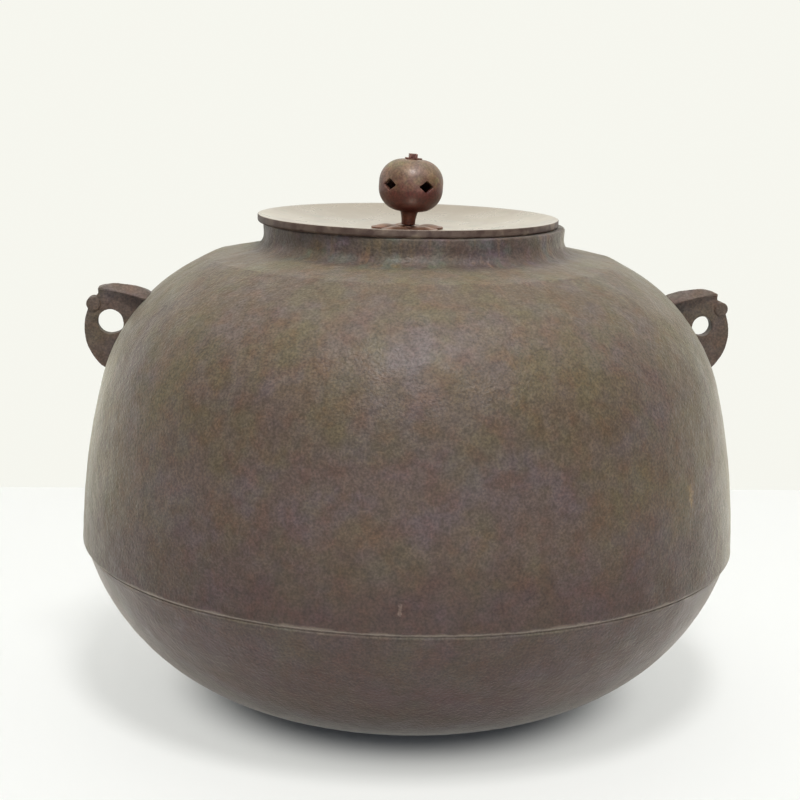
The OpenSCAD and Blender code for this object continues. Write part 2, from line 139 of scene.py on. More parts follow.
mouth_r = NECK_R - NECK_T
mouth_z = plateau_z(NECK_R) + NECK_H
fillet_c_r = NECK_R + NECK_FILLET_R
fillet_lift = NECK_FILLET_R / math.cos(math.radians(PLATEAU_SLOPE))
fillet_c = Vector((fillet_c_r, plateau_z(fillet_c_r) + fillet_lift))
mouth_edge_c = Vector((NECK_R - MOUTH_ROUND, mouth_z - MOUTH_ROUND))
mouth_inner_c = Vector((mouth_r + MOUTH_INNER_ROUND, mouth_z - MOUTH_INNER_ROUND))

# The inner face keeps the wall's thickness, down to the rebate that takes the pan's collar.
joint_r = BELLY_R - REBATE_T
joint_top = SEAM_Z + JOINT_H
inner_roof = crease - WALL_T * on_slope(90 - PLATEAU_SLOPE)
inner_rise = shoulder_c + (SHOULDER_CURVE_R - WALL_T) * on_slope(shoulder_top)
inner_gain = inner_rise[1] - inner_roof[1] + inner_rise[0] * crease_fall - inner_roof[0] * plateau_fall
inner_crease_r = inner_gain / (crease_fall - plateau_fall)
inner_crease = inner_rise + (inner_rise[0] - inner_crease_r) * Vector((-1, crease_fall))
inner_mouth_z = inner_roof[1] + (inner_roof[0] - mouth_r) * plateau_fall
rebate_lean = lean_at(wall_c, WALL_CURVE_R - WALL_T, joint_top)

wall_arc = arc(wall_c, WALL_CURVE_R, lip_lean, SHOULDER_LEAN, 38)
shoulder_arc = arc(shoulder_c, SHOULDER_CURVE_R, SHOULDER_LEAN, shoulder_top, 35)
crease_arc = soft_corner(crease, CREASE_SLOPE, PLATEAU_SLOPE, CREASE_SOFT, 6)
neck_fillet = arc(fillet_c, NECK_FILLET_R, 270 - PLATEAU_SLOPE, 180, 10)
section = run(Vector((joint_r, SEAM_Z)), Vector((lip_c[0], SEAM_Z)), 1)
section += arc(lip_c, LIP_ROUND, -90, lip_lean, 6)[:-1]
section += wall_arc[:-1] + shoulder_arc[:-1]
section += run(shoulder_arc[-1], crease_arc[0], 2) + crease_arc[:-1]
section += run(crease_arc[-1], neck_fillet[0], 5) + neck_fillet[:-1]
section += run(neck_fillet[-1], Vector((NECK_R, mouth_edge_c[1])), 2)
section += arc(mouth_edge_c, MOUTH_ROUND, 0, 90, 4)
section += arc(mouth_inner_c, MOUTH_INNER_ROUND, 90, 180, 3)
section += run(Vector((mouth_r, inner_mouth_z)), inner_crease, 5)
section += [inner_crease]
section += arc(shoulder_c, SHOULDER_CURVE_R - WALL_T, shoulder_top, SHOULDER_LEAN, 12)
section += arc(wall_c, WALL_CURVE_R - WALL_T, SHOULDER_LEAN, rebate_lean, 10)[1:]
section += [Vector((joint_r, joint_top)), Vector((joint_r, SEAM_Z))]
upper_body = turned("upper_body_cast", section, BODY_STEPS)

SKIN_FACING = 1 / 7
END_FADE = 3.0
LUG_FOOT_W = 9.0
LUG_FOOT_H = 22.0
LUG_FOOT_Z = 151.0
LUG_FADE = 1.5


def faces_out(vertex, rise):
    """True on skin that faces outwards, and up for a rise of 1 or down for one of -1."""
    out = Vector((vertex.co.x, vertex.co.y, 0)).normalized()
    return vertex.normal.dot(out + Vector((0, 0, rise))) > SKIN_FACING


def outside(vertex, low, high, fade):
    """One on the outer skin between two heights, rising over a fade, and nothing at the lugs."""
    up = vertex.co.z / MM
    off_lug = math.hypot(vertex.co.y / MM / LUG_FOOT_W, (up - LUG_FOOT_Z) / LUG_FOOT_H) - 1
    ends = min((up - low) / fade, (high - up) / END_FADE, LUG_FADE * off_lug)
    return max(0.0, min(1.0, ends)) if faces_out(vertex, 1) else 0.0


def worn_skin(piece, name, size, depth, level, weight):
    """Makes a casting's skin uneven about a level, by the weight that each vertex is given."""
    skin = piece.vertex_groups.new(name=name)
    for vertex in piece.data.vertices:
        skin.add([vertex.index], weight(vertex), "REPLACE")
    clouds = bpy.data.textures.new(name, "CLOUDS")
    clouds.noise_scale = size * MM
    clouds.noise_depth = 3
    sink = piece.modifiers.new(name, "DISPLACE")
    sink.texture = clouds
    sink.texture_coords = "LOCAL"
    sink.mid_level = level
    sink.strength = depth * MM
    sink.vertex_group = name
    bpy.context.view_layer.objects.active = piece
    bpy.ops.object.modifier_apply(modifier=name)


worn_skin(
    upper_body, "body_swell", size=48, depth=0.8, level=0.5,
    weight=lambda vertex: outside(vertex, low=75, high=191, fade=25),
)
worn_skin(
    upper_body, "body_sand", size=6, depth=0.3, level=1.0,
    weight=lambda vertex: outside(vertex, low=65, high=191.5, fade=3),
)

LUG_ANGLE = 30.8
KEY_SLOT = (6.1, 4.1, 18.1)
for side in (1, -1):
    bpy.ops.object.select_all(action="DESELECT")
    bpy.ops.mesh.primitive_cube_add(size=MM)
    slot = bpy.context.object
    lean = side * math.radians(LUG_ANGLE)
    bpy.ops.object.mode_set(mode="EDIT")
    bpy.ops.mesh.select_all(action="SELECT")
    bpy.ops.transform.resize(value=KEY_SLOT)
    bpy.ops.transform.translate(value=(side * SHOULDER_CURVE_R * MM, 0, 0))
    bpy.ops.transform.rotate(value=lean, orient_axis="Y", center_override=(0, 0, 0))
    bpy.ops.transform.translate(value=(side * shoulder_c[0] * MM, 0, shoulder_c[1] * MM))
    bpy.ops.object.mode_set(mode="OBJECT")
    cut = upper_body.modifiers.new("key_slot", "BOOLEAN")
    cut.operation = "DIFFERENCE"
    cut.object = slot
    bpy.context.view_layer.objects.active = upper_body
    bpy.ops.object.modifier_apply(modifier="key_slot")
    bpy.data.objects.remove(slot)


def smooth(piece, angle=35):
    """Smooths the shading of a piece, except over edges sharper than the angle."""
    bpy.ops.object.select_all(action="DESELECT")
    piece.select_set(True)
    bpy.context.view_layer.objects.active = piece
    bpy.ops.object.shade_smooth_by_angle(angle=math.radians(angle))


smooth(upper_body)


def linear(level):
    """A screen's level from 0 to 255, as the shader's linear one."""
    share = level / 255
    return share / 12.92 if level < 10 else ((share + 0.055) / 1.055) ** 2.4


def shade(red, green, blue):
    """A colour judged on a screen, as the shader's own."""
    return linear(red), linear(green), linear(blue), 1.0


def new_finish(name, metallic, roughness):
    """An empty finish: its material, node tree, shader and the place that its patterns read."""
    finish = bpy.data.materials.new(name)
    finish.use_nodes = True
    tree = finish.node_tree
    shader = tree.nodes["Principled BSDF"]
    shader.inputs["Metallic"].default_value = metallic
    shader.inputs["Roughness"].default_value = roughness
    return finish, tree, shader, tree.nodes.new("ShaderNodeTexCoord").outputs["Object"]


def cloud(tree, place, size, detail, shift=(0, 0, 0), stretch=(1, 1, 1)):
    """A cloudy pattern with patches of a size. Most of it lies between 0.3 and 0.7."""
    mapping = tree.nodes.new("ShaderNodeMapping")
    mapping.inputs["Location"].default_value = shift
    mapping.inputs["Scale"].default_value = stretch
    noise = tree.nodes.new("ShaderNodeTexNoise")
    noise.inputs["Scale"].default_value = 1 / (size * MM)
    noise.inputs["Detail"].default_value = detail
    noise.inputs["Roughness"].default_value = 0.55
    tree.links.new(place, mapping.inputs["Vector"])
    tree.links.new(mapping.outputs["Vector"], noise.inputs["Vector"])
    return noise.outputs["Fac"]


def spread(tree, value, low, high, to_low=0.0, to_high=1.0):
    """Spreads a value between two bounds, and holds it there outside them."""
    node = tree.nodes.new("ShaderNodeMapRange")
    node.interpolation_type = "SMOOTHSTEP"
    node.inputs["From Min"].default_value = low
    node.inputs["From Max"].default_value = high
    node.inputs["To Min"].default_value = to_low
    node.inputs["To Max"].default_value = to_high
    tree.links.new(value, node.inputs["Value"])
    return node.outputs["Result"]


def band(tree, length, span, at_start, at_end):
    """Goes from one amount to another over a span of a length."""
    return spread(tree, length, span[0] * MM, span[1] * MM, at_start, at_end)


def feed(tree, value, socket):
    """Gives a socket a colour, a number or another socket's value."""
    if isinstance(value, bpy.types.NodeSocket):
        tree.links.new(value, socket)
    else:
        socket.default_value = value


def tint(tree, amount, under, over, blend="MIX"):
    """Lays one colour over another by an amount."""
    node = tree.nodes.new("ShaderNodeMix")
    node.data_type = "RGBA"
    node.blend_type = blend
    feed(tree, amount, node.inputs[0])
    feed(tree, under, node.inputs[6])
    feed(tree, over, node.inputs[7])
    return node.outputs[2]


def mottle(tree, under, over, pattern, low, high, amount=1.0, blend="MIX"):
    """Lays one colour over another where a pattern is strong."""
    return tint(tree, spread(tree, pattern, low, high, 0.0, amount), under, over, blend)


def sums(tree, operation, first, second):
    """One step of arithmetic on two values."""
    node = tree.nodes.new("ShaderNodeMath")
    node.operation = operation
    feed(tree, first, node.inputs[0])
    feed(tree, second, node.inputs[1])
    return node.outputs[0]


def ragged(tree, length, pattern, reach):
    """Moves a length to and fro with a pattern, by up to a reach."""
    return sums(tree, "ADD", length, spread(tree, pattern, 0.3, 0.7, -reach * MM, reach * MM))


def along(tree, place, axis):
    """How far a place lies along an axis."""
    parts = tree.nodes.new("ShaderNodeSeparateXYZ")
    tree.links.new(place, parts.inputs[0])
    return parts.outputs[axis]


def arrow(tree, operation, first, second=None):
    """One step of arithmetic on places."""
    node = tree.nodes.new("ShaderNodeVectorMath")
    node.operation = operation
    tree.links.new(first, node.inputs[0])
    if second is not None:
        node.inputs[1].default_value = second
    return node.outputs["Value" if operation == "LENGTH" else "Vector"]


def off_axis(tree, place):
    """Distance of a place from the kettle's upright axis."""
    return arrow(tree, "LENGTH", arrow(tree, "MULTIPLY", place, (1, 1, 0)))


def spot(tree, place, centre, reach, pattern):
    """One at a point, falling to nothing over a reach along each axis, with a ragged edge."""
    off = arrow(tree, "SUBTRACT", place, Vector(centre) * MM)
    far = arrow(tree, "LENGTH", arrow(tree, "DIVIDE", off, Vector(reach) * MM))
    edge = sums(tree, "ADD", far, spread(tree, pattern, 0.3, 0.7, -0.4, 0.4))
    return spread(tree, edge, 0.45, 1.0, 1.0, 0.0)


def relief(tree, shader, layers):
    """Raises patterns from a surface: pairs of a pattern and its depth, coarse to fine."""
    normal = None
    for pattern, depth in layers:
        bump = tree.nodes.new("ShaderNodeBump")
        bump.inputs["Strength"].default_value = 1.0
        bump.inputs["Distance"].default_value = depth * MM
        tree.links.new(pattern, bump.inputs["Height"])
        if normal:
            tree.links.new(normal, bump.inputs["Normal"])
        normal = bump.outputs["Normal"]
    tree.links.new(normal, shader.inputs["Normal"])


def old_iron(name, dull, dent, brown, mauve):
    """Sand-cast iron. Returns its colour too, so that wear and patina can be laid over it."""
    finish, tree, shader, place = new_finish(name, metallic=0.0, roughness=dull)
    colour = mottle(tree, brown, mauve, cloud(tree, place, 34, 4), 0.38, 0.62)
    rubbed = cloud(tree, place, 14, 4, (4.4, 0.3, 6.1))
    rubbed = spread(tree, rubbed, 0.35, 0.65, dull - 0.09, dull + 0.09)
    tree.links.new(rubbed, shader.inputs["Roughness"])
    dents = cloud(tree, place, 4.2, 3, (2.2, 6.1, 0.7), (1, 1, 1.3))
    sand = cloud(tree, place, 1.1, 4)
    relief(tree, shader, ((dents, dent), (sand, 0.3)))
    return finish, tree, shader, place, colour


def dusty(shader, weight, roughness, colour):
    """Gives dry old iron the pale bloom that it shows along its outline."""
    shader.inputs["Sheen Weight"].default_value = weight
    shader.inputs["Sheen Roughness"].default_value = roughness
    shader.inputs["Sheen Tint"].default_value = colour


OLIVE = (0.98, 1.13, 0.9, 1)
SLATE = (1.04, 1.1, 1.42, 1)
RUST = (1.06, 0.86, 0.78, 1)
PATCH_AMOUNT = 0.7
FINE_GRAIN = 0.3
COARSE_GRAIN = 0.15


def patina(tree, place, colour):
    """Lays the mottling of old iron and the grain of the sand over a colour."""
    olive = cloud(tree, place, 16, 6, (3.1, 1.7, 0.4))
    slate = cloud(tree, place, 12, 6, (7.3, 2.9, 5.1))
    rust = cloud(tree, place, 8, 6, (1.3, 8.7, 2.2))
    colour = mottle(tree, colour, OLIVE, olive, 0.44, 0.64, PATCH_AMOUNT, "MULTIPLY")
    colour = mottle(tree, colour, SLATE, slate, 0.44, 0.64, PATCH_AMOUNT, "MULTIPLY")
    colour = mottle(tree, colour, RUST, rust, 0.46, 0.66, PATCH_AMOUNT, "MULTIPLY")
    fine = cloud(tree, place, 0.9, 4)
    coarse = cloud(tree, place, 3, 4, (5.7, 2.1, 8.3))
    for pattern, depth in ((fine, FINE_GRAIN), (coarse, COARSE_GRAIN)):
        grain = spread(tree, pattern, 0.3, 0.7, 1 - depth, 1 + depth)
        colour = tint(tree, 1.0, colour, grain, "MULTIPLY")
    return colour


BODY_BROWN = shade(90, 74, 57)
BODY_MAUVE = shade(89, 73, 65)
BODY_BLOOM = (1.0, 0.96, 0.77, 1)
LOW_PAINTED_SHADE = shade(71, 51, 45)
SHOULDER_PAINTED_LIGHT = shade(118, 102, 84)
PLATEAU_PAINTED_LIGHT = shade(138, 124, 103)
NECK_BROWN = shade(84, 69, 61)
NECK_GREEN = shade(92, 95, 84)
NECK_VIOLET = shade(104, 86, 88)
NECK_RUST = shade(122, 96, 70)
STREAK_OCHRE = shade(146, 120, 78)
SCRATCH_GREY = shade(146, 132, 118)
SEAM_PAINTED_HIGHLIGHT = shade(138, 123, 108)
LOW_SPAN = (SEAM_Z, SEAM_Z + 42)
SHOULDER_SPAN = (130, 172)
PLATEAU_SPAN = (CREASE_R, CREASE_R + 1)
NECK_SPAN = (NECK_R + 2.9, NECK_R + 9.9)
SEAM_SPAN = (SEAM_Z + 0.5, SEAM_Z + 1.6)
STREAK_AT = (95.7, -87.6, 102.6)
STREAK_REACH = (2.2, 2.2, 6.0)
SCRATCH_AT = (-15.3, -131.8, 73.7)
SCRATCH_REACH = (0.8, 2.0, 3.0)
MARK_AMOUNT = 0.4
body_iron, tree, shader, place, colour = old_iron(
    "body_sand_cast_iron", dull=0.55, dent=0.32, brown=BODY_BROWN, mauve=BODY_MAUVE
)
dusty(shader, weight=0.45, roughness=0.34, colour=BODY_BLOOM)
up = along(tree, place, "Z")
uneven = cloud(tree, place, 9, 4, (5.2, 3.3, 1.9))
level = ragged(tree, up, uneven, reach=6)
# Painted shade: the body is painted darker towards the seam.
colour = tint(tree, band(tree, level, LOW_SPAN, 0.85, 0.0), colour, LOW_PAINTED_SHADE)
# Painted top light: the shoulder is painted paler.
colour = tint(tree, band(tree, level, SHOULDER_SPAN, 0.0, 0.43), colour, SHOULDER_PAINTED_LIGHT)
out = ragged(tree, off_axis(tree, place), uneven, reach=0.8)
# Painted top light: the plateau inside the crease is painted paler.
colour = tint(tree, band(tree, out, PLATEAU_SPAN, 0.24, 0.0), colour, PLATEAU_PAINTED_LIGHT)
neck = band(tree, out, NECK_SPAN, 0.9, 0.0)
colour = tint(tree, neck, colour, NECK_BROWN)
green = spread(tree, cloud(tree, place, 10, 3, (9.1, 4.2, 7.7)), 0.5, 0.64, 0.0, 0.6)
violet = spread(tree, cloud(tree, place, 7, 4, (2.6, 6.4, 1.1)), 0.5, 0.62, 0.0, 0.5)
drips = spread(tree, cloud(tree, place, 5, 3, (4.1, 9.9, 0.2), (1, 1, 0.2)), 0.54, 0.66, 0.0, 0.5)
for stain, over in ((green, NECK_GREEN), (violet, NECK_VIOLET), (drips, NECK_RUST)):
    colour = tint(tree, sums(tree, "MULTIPLY", neck, stain), colour, over)
streak = spot(tree, place, STREAK_AT, STREAK_REACH, cloud(tree, place, 2.2, 3))
scratch = spot(tree, place, SCRATCH_AT, SCRATCH_REACH, cloud(tree, place, 1.4, 3))
for mark, over in ((streak, STREAK_OCHRE), (scratch, SCRATCH_GREY)):
    colour = tint(tree, sums(tree, "MULTIPLY", mark, MARK_AMOUNT), colour, over)
colour = patina(tree, place, colour)
# Painted highlight: a pale line along the lip of the seam, which also lifts the shade under the lip.
edge = band(tree, ragged(tree, up, uneven, reach=0.6), SEAM_SPAN, 0.6, 0.0)
colour = tint(tree, edge, colour, SEAM_PAINTED_HIGHLIGHT)
tree.links.new(colour, shader.inputs["Base Color"])
upper_body.data.materials.append(body_iron)
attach(upper_body, "kettle")
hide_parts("upper_body")

# Bottom pan: the lower bowl, cast apart in iron and let up into the body by its collar, so the seam shows
# as a step. Its skin is finer and darker than the body's, the darkness partly painted shade, and it is
# painted darker still towards its small flat foot as painted shade, and paler towards its top as painted
# light.
PAN_T = 4.0
BOWL_R = 87.0
SEAM_STEP = 1.6
LACQUER_T = 0.6
LEDGE_ROUND = 0.2
pan_r = BELLY_R - SEAM_STEP
ledge_z = SEAM_Z - LACQUER_T
collar_r = joint_r - LACQUER_T
collar_top = joint_top - LACQUER_T
foot_r = pan_r - math.sqrt(BOWL_R ** 2 - (BOWL_R - ledge_z) ** 2)
bowl_c = Vector((foot_r, BOWL_R))
inner_lean = lean_at(bowl_c, BOWL_R - PAN_T, ledge_z)
bowl_arc = arc(bowl_c, BOWL_R, -90, lean_at(bowl_c, BOWL_R, ledge_z - LEDGE_ROUND), 62)
inner_arc = arc(bowl_c, BOWL_R - PAN_T, inner_lean, -90, 20)
ledge_c = Vector((bowl_arc[-1][0] - LEDGE_ROUND, ledge_z - LEDGE_ROUND))
section = run(Vector((0, 0)), bowl_arc[0], 8) + bowl_arc
section += arc(ledge_c, LEDGE_ROUND, 0, 90, 3)[1:]
section += [Vector((collar_r, ledge_z)), Vector((collar_r, collar_top))]
section += [Vector((inner_arc[0][0], collar_top))]
section += inner_arc + [Vector((0, PAN_T))]
bottom_pan = turned("bottom_pan_cast", section, BODY_STEPS)


def under(vertex, low, high):
    """One on the bowl's outer face between two heights, fading at its ends."""
    up = vertex.co.z / MM
    ends = min(up - low, high - up) / END_FADE
    return max(0.0, min(1.0, ends)) if faces_out(vertex, -1) else 0.0


worn_skin(
    bottom_pan, "pan_swell", size=60, depth=0.4, level=0.7,
    weight=lambda vertex: under(vertex, low=0.5, high=62.5),
)
worn_skin(
    bottom_pan, "pan_sand", size=5, depth=0.25, level=1.0,
    weight=lambda vertex: under(vertex, low=0.5, high=63),
)
smooth(bottom_pan)

# Partly painted shade: the pan's iron is painted darker than the body's, partly its own colour and partly
# the shade under the belly.
PAN_BROWN = shade(71, 51, 43)
PAN_MAUVE = shade(71, 51, 46)
PAN_BLOOM = (1.0, 0.92, 0.8, 1)
FOOT_PAINTED_SHADE = shade(34, 24, 21)
PAN_TOP_PAINTED_LIGHT = shade(104, 90, 77)
PAN_RIM_PAINTED_LIGHT = shade(150, 136, 121)
PAN_SOOT = shade(68, 59, 55)
FOOT_SPAN = (0, 34)
PAN_TOP_LIGHT_SPAN = (38, 62)
PAN_RIM_SPAN = (ledge_z - 1.4, ledge_z)
pan_iron, tree, shader, place, colour = old_iron(
    "pan_sand_cast_iron", dull=0.45, dent=0.15, brown=PAN_BROWN, mauve=PAN_MAUVE
)
dusty(shader, weight=0.9, roughness=0.3, colour=PAN_BLOOM)
up = along(tree, place, "Z")
soot = cloud(tree, place, 12, 4, (6.6, 1.2, 3.4))
# Painted shade: the bowl is painted darker towards its foot.
colour = tint(tree, band(tree, up, FOOT_SPAN, 0.85, 0.0), colour, FOOT_PAINTED_SHADE)
# Painted light: the upper bowl is painted paler towards the seam.
colour = tint(tree, band(tree, ragged(tree, up, soot, reach=4), PAN_TOP_LIGHT_SPAN, 0.0, 0.18), colour, PAN_TOP_PAINTED_LIGHT)
# Painted light: a pale ring under the ledge that lifts the shade below the lip.
colour = tint(tree, band(tree, up, PAN_RIM_SPAN, 0.0, 0.45), colour, PAN_RIM_PAINTED_LIGHT)
colour = mottle(tree, colour, PAN_SOOT, soot, 0.55, 0.72, 0.4)
tree.links.new(patina(tree, place, colour), shader.inputs["Base Color"])
bottom_pan.data.materials.append(pan_iron)
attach(bottom_pan, "kettle")
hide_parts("bottom_pan")

# Seam lacquer: raw lacquer thickened with iron powder, pressed into the joint of pan and body to seal it.
# Only its edge shows, as a thin line in the seam.
# Painted light: the lacquer's colours are painted paler than its own, to lift the shade in the seam.
LACQUER_DARK = shade(112, 98, 88)
LACQUER_PALE = shade(136, 121, 108)
lacquer, tree, shader, place = new_finish("seam_lacquer_paste", metallic=0.0, roughness=0.5)
lumps = cloud(tree, place, 2.5, 4)
colour = mottle(tree, LACQUER_DARK, LACQUER_PALE, lumps, 0.35, 0.7)
tree.links.new(colour, shader.inputs["Base Color"])
relief(tree, shader, ((lumps, 0.3),))


def dress(node, finish):
    """Gives a CAD node its finish, without touching its shape."""
    nodes[node].data.materials.clear()
    nodes[node].data.materials.append(finish)


dress("seam_lacquer", lacquer)

# Lugs: a pierced iron casting on each side for the lifting rings, with a gabled brow over the eye and a
# small scroll at its tip, keyed into the shoulder. Their edges came rounded out of the mould, and their
# roots are sunk a little into the uneven skin of the body.
LUG_VOXEL = 0.22
LUG_ROUNDS = 10
LUG_ROOT = 1.6
LUG_SINK = 0.7


def softened(node, name, voxel, rounds):
    """A copy of a CAD node with even facets and edges rounded as casting and handling leave them."""
    bpy.ops.object.select_all(action="DESELECT")
    piece = bpy.data.objects.new(name, nodes[node].data.copy())
    piece.data.name = name
    piece.data.materials.clear()
    bpy.context.collection.objects.link(piece)
    piece.select_set(True)
    bpy.context.view_layer.objects.active = piece
    bpy.ops.object.mode_set(mode="EDIT")
    bpy.ops.mesh.select_all(action="SELECT")
    bpy.ops.mesh.remove_doubles(threshold=0.002 * MM)
    bpy.ops.object.mode_set(mode="OBJECT")
    even = piece.modifiers.new("even", "REMESH")
    even.mode = "VOXEL"
    even.voxel_size = voxel * MM
    rounding = piece.modifiers.new("rounding", "SMOOTH")
    rounding.factor = 0.5
    rounding.iterations = rounds
    for modifier in ("even", "rounding"):
        bpy.ops.object.modifier_apply(modifier=modifier)
    bpy.ops.object.shade_smooth()
    return piece


LUG_BROWN = shade(89, 73, 60)
LUG_MAUVE = shade(90, 72, 63)
BROW_PAINTED_LIGHT = shade(114, 100, 86)
BROW_SPAN = (161, 166)
lug_iron, tree, shader, place, colour = old_iron(
    "lug_cast_iron", dull=0.55, dent=0.4, brown=LUG_BROWN, mauve=LUG_MAUVE
)
# Painted top light: the top of each lug's brow is painted paler.
brow = band(tree, along(tree, place, "Z"), BROW_SPAN, 0.0, 0.4)
colour = tint(tree, brow, colour, BROW_PAINTED_LIGHT)
tree.links.new(patina(tree, place, colour), shader.inputs["Base Color"])
for node in ("left_lug", "right_lug"):
    lug = softened(node, node + "_cast", LUG_VOXEL, LUG_ROUNDS)
    worn_skin(lug, node + "_sand", size=4, depth=0.3, level=1.0, weight=lambda vertex: 1.0)
    for vertex in lug.data.vertices:
        out = Vector((vertex.co.x, vertex.co.y, 0)).normalized()
        off = vertex.co - (out * shoulder_c[0] + Vector((0, 0, shoulder_c[1]))) * MM
        lift = abs(off.length / MM - SHOULDER_CURVE_R)
        if lift < LUG_ROOT:
            vertex.co -= off.normalized() * LUG_SINK * (1 - lift / LUG_ROOT) * MM
    lug.data.materials.append(lug_iron)
    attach(lug, "kettle")
    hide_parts(node)

# Sound plates: five small iron plates stuck to the floor of the pan with dabs of lacquer, which make the
# kettle sing as the water warms.
PLATE_COUNT = 5
PLATE_BROWN = shade(92, 80, 72)
PLATE_RUST = shade(98, 76, 62)
plate_iron, tree, shader, place, colour = old_iron(
    "sound_plate_iron", dull=0.6, dent=0.5, brown=PLATE_BROWN, mauve=PLATE_RUST
)
tree.links.new(patina(tree, place, colour), shader.inputs["Base Color"])
for number in range(1, PLATE_COUNT + 1):
    dress("sound_plate_%d" % number, plate_iron)
    dress("lacquer_pad_%d" % number, lacquer)

# Lid: a shallow dish turned from cast bronze, with a locating ring under it. It lies a little to the left
# in the mouth. Its top is a satin bronze painted pale, a painted reflection of the pale room, with a
# painted darker reflection towards the back, and its edge has kept the dark patina.
LID_X = -2.5
LID_T = 2.6
LID_SETBACK = 0.2
LID_EDGE_H = 3.2
LID_RIM_W = 1.2
RIM_BEVEL = 0.4
RIM_STEP = 0.25
EDGE_ROUND = 1.2
DISH_DEPTH = 5.4
SEAT_R = 16.0
LID_PLAY = 3.2
RING_T = 2.2
RING_H = 6.0
PIN_ROOM = 1.8
LID_STEPS = 288
lid_r = NECK_R - LID_SETBACK
lid_top = mouth_z + LID_EDGE_H
seat_z = lid_top - DISH_DEPTH
ring_r = mouth_r - LID_PLAY
ring_low = mouth_z - RING_H
dish_edge_r = lid_r - LID_RIM_W
dish_r = ((dish_edge_r - SEAT_R) ** 2 + DISH_DEPTH ** 2) / (2 * DISH_DEPTH)
dish_c = Vector((SEAT_R, seat_z + dish_r))
dish_lean = math.degrees(math.acos((dish_edge_r - SEAT_R) / dish_r))
ring_lean = math.degrees(math.acos((ring_r - RING_T - SEAT_R) / (dish_r + LID_T)))
section = [Vector((PIN_ROOM, seat_z - LID_T))]
section += run(Vector((PIN_ROOM, seat_z)), Vector((SEAT_R, seat_z)), 6)
section += arc(dish_c, dish_r, -90, -dish_lean, 28)
section += [Vector((dish_edge_r + RIM_STEP, lid_top))]
section += arc(Vector((lid_r - RIM_BEVEL, lid_top - RIM_BEVEL)), RIM_BEVEL, 90, 0, 4)
section += arc(Vector((lid_r - EDGE_ROUND, mouth_z + EDGE_ROUND)), EDGE_ROUND, 0, -90, 6)
section += [Vector((ring_r, mouth_z)), Vector((ring_r, ring_low)), Vector((ring_r - RING_T, ring_low))]
section += arc(dish_c, dish_r + LID_T, -ring_lean, -90, 16)
section += [Vector((PIN_ROOM, seat_z - LID_T))]
lid = turned("lid_turned", section, LID_STEPS, LID_X)
smooth(lid, angle=40)

LID_PALE_REFLECTION = shade(203, 189, 167)
LID_SATIN_REFLECTION = shade(191, 177, 155)
LID_PINK = shade(178, 154, 140)
LID_GREEN = shade(162, 164, 142)
LID_BACK_PAINTED_REFLECTION = shade(158, 140, 117)
BACK_SPAN = (0, 50)
lid_bronze, tree, shader, place = new_finish("lid_satin_bronze", metallic=0.8, roughness=0.3)
satin = cloud(tree, place, 22, 4, (2, 5, 1))
pink = cloud(tree, place, 9, 4, (8, 3, 2))
green = cloud(tree, place, 7, 4, (1, 9, 4))
# Painted reflection: the top's bronze is painted pale for the pale room that it reflects.
colour = mottle(tree, LID_PALE_REFLECTION, LID_SATIN_REFLECTION, satin, 0.38, 0.62)
colour = mottle(tree, colour, LID_PINK, pink, 0.5, 0.7, 0.6)
colour = mottle(tree, colour, LID_GREEN, green, 0.54, 0.72, 0.6)
# Painted reflection: the back half of the top is painted darker.
to_back = band(tree, along(tree, place, "Y"), BACK_SPAN, 0.0, 0.75)
colour = tint(tree, to_back, colour, LID_BACK_PAINTED_REFLECTION)
tree.links.new(colour, shader.inputs["Base Color"])
rubbed = spread(tree, cloud(tree, place, 12, 4, (5, 1, 1)), 0.3, 0.7, 0.26, 0.36)
tree.links.new(rubbed, shader.inputs["Roughness"])
shader.inputs["Coat Weight"].default_value = 0.8
shader.inputs["Coat Roughness"].default_value = 0.3
shader.inputs["Coat IOR"].default_value = 1.7
relief(tree, shader, ((cloud(tree, place, 3, 3), 0.015),))
lid.data.materials.append(lid_bronze)

EDGE_DARK = shade(78, 58, 50)
EDGE_BROWN = shade(104, 86, 74)
EDGE_BARE = shade(150, 132, 112)
EDGE_CLEAR = 0.1
TOP_FACING = 0.9
lid_patina, tree, shader, place = new_finish("lid_edge_patina", metallic=0.2, roughness=0.5)
stain = cloud(tree, place, 5, 4, (3, 3, 7))
bare = cloud(tree, place, 9, 4, (6, 2, 8))
colour = mottle(tree, EDGE_DARK, EDGE_BROWN, stain, 0.4, 0.6)
colour = mottle(tree, colour, EDGE_BARE, bare, 0.54, 0.66, 0.6)
tree.links.new(colour, shader.inputs["Base Color"])
relief(tree, shader, ((cloud(tree, place, 2, 3), 0.04),))
lid.data.materials.append(lid_patina)
for face in lid.data.polygons:
    reach = math.hypot(face.center.x / MM - LID_X, face.center.y / MM)
    face.material_index = int(reach > ring_r + EDGE_CLEAR and face.normal.z < TOP_FACING)
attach(lid, "lid")
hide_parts("lid")

# Flower washer: the five-petal seat under the knob, struck from copper sheet with a dome in each petal and
# held down on the lid by the knob's pin. The tops of the petals are painted bright, partly as rubbed wear
# and partly as painted top light.
PETAL_VOXEL = 0.16
PETAL_ROUNDS = 4
PETAL_DARK = shade(104, 66, 50)
PETAL_PINK = shade(150, 106, 84)
PETAL_RUBBED_AND_LIT = shade(182, 146, 120)
PETAL_TOP_SPAN = (seat_z + 0.5, seat_z + 1.6)
petals = softened("flower_washer", "flower_washer_struck", PETAL_VOXEL, PETAL_ROUNDS)
petal_copper, tree, shader, place = new_finish("petal_rubbed_copper", metallic=0.6, roughness=0.36)
colour = mottle(tree, PETAL_DARK, PETAL_PINK, cloud(tree, place, 3.5, 4), 0.36, 0.64)
